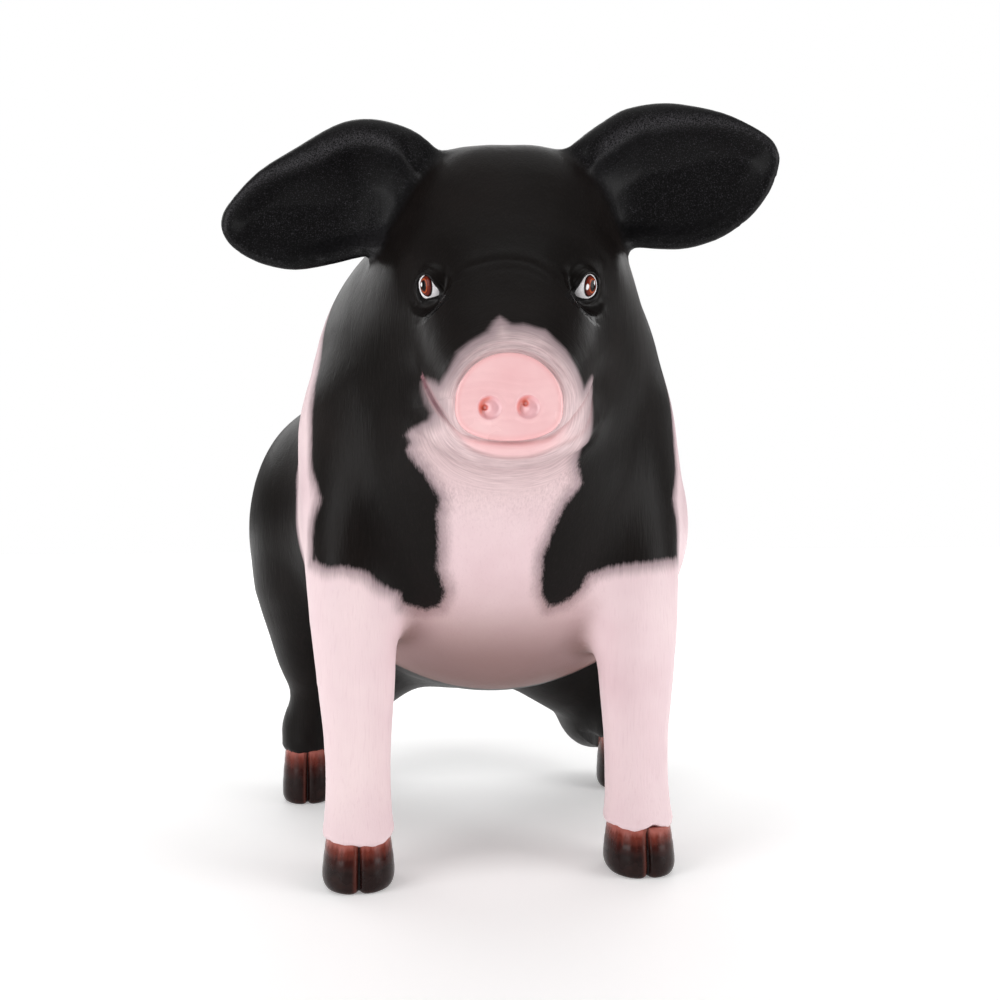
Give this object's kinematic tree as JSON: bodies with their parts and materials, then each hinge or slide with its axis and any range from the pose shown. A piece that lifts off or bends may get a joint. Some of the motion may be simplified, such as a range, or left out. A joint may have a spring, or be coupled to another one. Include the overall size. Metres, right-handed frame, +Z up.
{
  "type": "sitting pig statue",
  "caption": "Life-size painted cast statue of a young saddleback-marked pig sitting on its haunches, ears spread, head turned slightly to its right.",
  "frame": {"origin": "middle of the bounding box at the floor, Z = 0 on the hoof soles", "axes": "the pig faces -Y, its left side is +X, +Z is up"},
  "size_m": [0.5318, 0.7172, 0.7368],
  "materials": {
    "painted_coat": "painted cast resin, black with pink-white nose, chest, saddle band, belly and forelegs, satin",
    "snout": "glossy pink paint",
    "hooves": "glossy dark brown paint, redder at the coronet",
    "eyes": "glossy painted eye, white with a red-brown iris and black pupil"
  },
  "bodies": {
    "root": {"trunk": "painted_coat", "neck": "painted_coat", "head": "painted_coat", "ear_right": "painted_coat", "ear_left": "painted_coat", "foreleg_right": "painted_coat", "foreleg_left": "painted_coat", "hindleg_right": "painted_coat", "hindleg_left": "painted_coat", "tail": "painted_coat", "snout_disc": "snout", "fore_hoof_right": "hooves", "fore_hoof_left": "hooves", "hind_hoof_right": "hooves", "hind_hoof_left": "hooves", "eye_right": "eyes", "eye_left": "eyes"}
  },
  "joints": []
}
